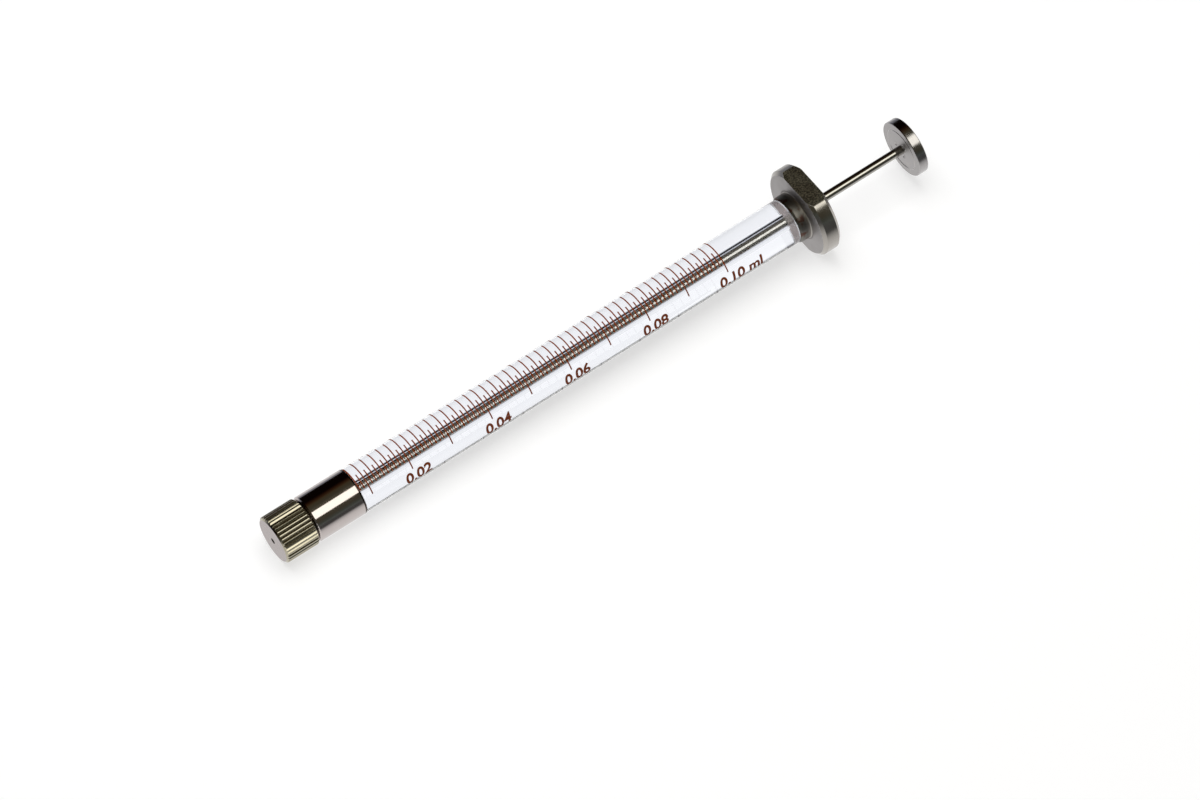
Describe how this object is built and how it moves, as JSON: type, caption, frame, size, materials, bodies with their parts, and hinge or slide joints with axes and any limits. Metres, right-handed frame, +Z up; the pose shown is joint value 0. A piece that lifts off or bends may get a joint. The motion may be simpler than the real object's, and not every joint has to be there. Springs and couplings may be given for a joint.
{
  "type": "gastight microsyringe",
  "caption": "Graduated glass microsyringe with steel hub, knurled needle nut, flat-sided finger flange and button plunger, lying at rest with no needle.",
  "frame": {"origin": "on the surface it lies on, under the middle of its bounding box, with the plunger fully in", "axes": "+X along the barrel from the needle nut to the plunger button, raised by the rest tilt of about 1.4 degrees; +Z up, through the middle of the flange's upper flat; the scale faces up and towards -Y"},
  "size_m": [0.0978, 0.0122, 0.0104],
  "materials": {
    "barrel_glass": "clear borosilicate glass",
    "scale_ink": "fired reddish brown ink",
    "polished_steel": "polished stainless steel",
    "knurled_steel": "straight knurled stainless steel",
    "turned_steel": "fine turned stainless steel",
    "rod_steel": "ground and polished steel",
    "seal_plastic": "white fluoropolymer",
    "cement": "grey cement"
  },
  "bodies": {
    "barrel": {"glass_barrel": "barrel_glass", "scale_marks": "scale_ink", "barrel_hub": "polished_steel", "hub_cement": "cement", "barrel_flange": "turned_steel", "flange_cement": "cement"},
    "tip": {"plunger_tip": "seal_plastic"},
    "plunger": {"plunger_rod": "rod_steel", "plunger_button": "turned_steel"},
    "seal": {"needle_seal": "seal_plastic"},
    "nut": {"needle_nut": "knurled_steel"}
  },
  "joints": [
    {"name": "plunger_slide", "type": "slide", "parent": "barrel", "child": "tip", "axis": [0.9997, 0, 0.0239], "range_m": [0, 0.06]},
    {"name": "plunger_spin", "type": "hinge", "parent": "tip", "child": "plunger", "pos_m": [0.04876, 0, 0.00557], "axis": [0.9997, 0, 0.0239], "continuous": true},
    {"name": "seal_travel", "type": "slide", "parent": "barrel", "child": "seal", "axis": [-0.9997, 0, -0.0239], "range_m": [0, 0.003]},
    {"name": "nut_unscrew", "type": "hinge", "parent": "seal", "child": "nut", "pos_m": [-0.04815, 0, 0.00326], "axis": [-0.9997, 0, -0.0239], "range_deg": [0, 2160]}
  ],
  "couplings": [
    {"joint": "nut_unscrew", "follows": "seal_travel", "rad_per_m": 12566}
  ]
}
